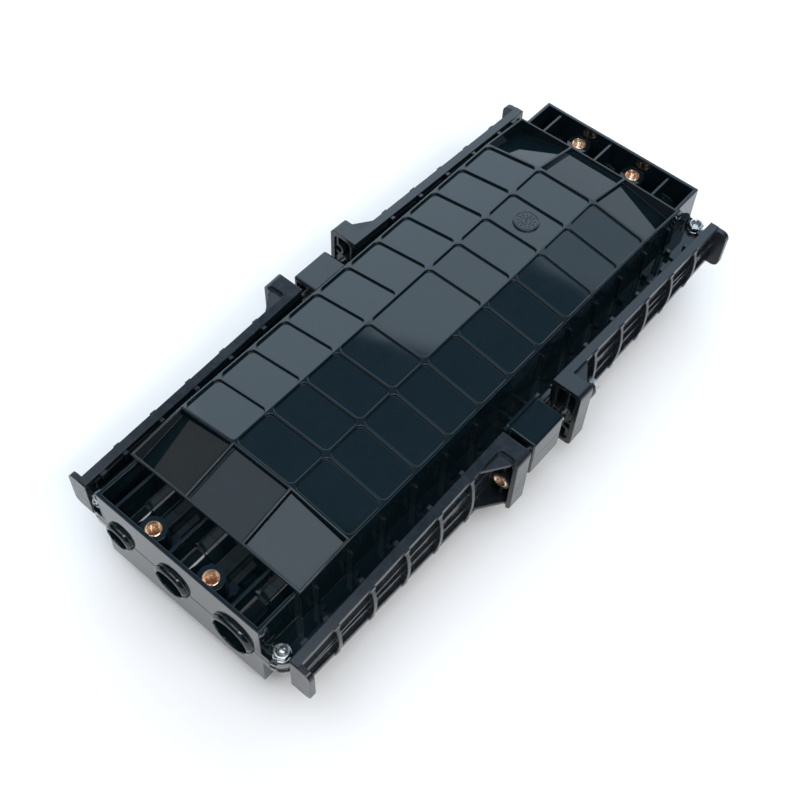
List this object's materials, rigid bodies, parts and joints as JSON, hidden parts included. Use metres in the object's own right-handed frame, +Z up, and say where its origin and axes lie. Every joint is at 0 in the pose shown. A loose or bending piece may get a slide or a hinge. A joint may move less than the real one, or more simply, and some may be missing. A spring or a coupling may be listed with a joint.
{
  "type": "fibre splice closure",
  "caption": "Inline splice closure for fibre cables: ribbed black half shells held by clamp rails that slide along the flange and are drawn together by bolts, with cable ports at both ends.",
  "frame": {"origin": "middle of the base, on the surface that the closure stands on", "axes": "+X along the closure towards its far end, +Y to the side of the small ports, +Z up"},
  "size_m": [0.4564, 0.2152, 0.102],
  "materials": {
    "shell_plastic": "glossy black moulded plastic",
    "rail_plastic": "satin black moulded plastic",
    "seal_rubber": "matt black rubber",
    "zinc_steel": "bright zinc plated steel",
    "insert_brass": "turned brass",
    "bracket_steel": "galvanised sheet steel",
    "tray_plastic": "light grey moulded plastic",
    "comb_plastic": "blue moulded plastic",
    "cover_clear": "clear moulded plastic",
    "band_plastic": "black moulded nylon"
  },
  "bodies": {
    "case": {"upper_shell": "shell_plastic", "lower_shell": "shell_plastic", "seal_cord_left": "seal_rubber", "seal_cord_right": "seal_rubber", "hanger_inserts_top": "insert_brass", "hanger_inserts_bottom": "insert_brass", "corner_bolts": "zinc_steel", "corner_nuts": "zinc_steel", "tray_bracket": "bracket_steel", "bracket_screws": "zinc_steel", "splice_tray_1": "tray_plastic", "splice_tray_2": "tray_plastic", "splice_tray_3": "tray_plastic", "splice_combs": "comb_plastic", "tray_cover": "cover_clear", "tray_strap": "band_plastic", "strength_clamps": "bracket_steel", "strength_screws": "zinc_steel"},
    "near_left_rail": {"clamp_rail_near_left": "rail_plastic", "rail_insert_left": "insert_brass"},
    "near_right_rail": {"clamp_rail_near_right": "rail_plastic", "rail_insert_right": "insert_brass"},
    "far_left_rail": {"clamp_rail_far_left": "rail_plastic", "bolt_washer_left": "zinc_steel"},
    "far_right_rail": {"clamp_rail_far_right": "rail_plastic", "bolt_washer_right": "zinc_steel"},
    "left_bolt": {"clamp_bolt_left": "zinc_steel"},
    "right_bolt": {"clamp_bolt_right": "zinc_steel"}
  },
  "joints": [
    {"name": "near_left_slide", "type": "slide", "parent": "case", "child": "near_left_rail", "axis": [-1, 0, 0], "range_m": [0, 0.155]},
    {"name": "near_right_slide", "type": "slide", "parent": "case", "child": "near_right_rail", "axis": [-1, 0, 0], "range_m": [0, 0.155]},
    {"name": "far_left_slide", "type": "slide", "parent": "case", "child": "far_left_rail", "axis": [1, 0, 0], "range_m": [0, 0.155]},
    {"name": "far_right_slide", "type": "slide", "parent": "case", "child": "far_right_rail", "axis": [1, 0, 0], "range_m": [0, 0.155]},
    {"name": "left_bolt_turn", "type": "hinge", "parent": "far_left_rail", "child": "left_bolt", "pos_m": [0.05, 0.0974, 0.051], "axis": [1, 0, 0], "continuous": true},
    {"name": "right_bolt_turn", "type": "hinge", "parent": "far_right_rail", "child": "right_bolt", "pos_m": [0.05, -0.0974, 0.051], "axis": [1, 0, 0], "continuous": true}
  ]
}
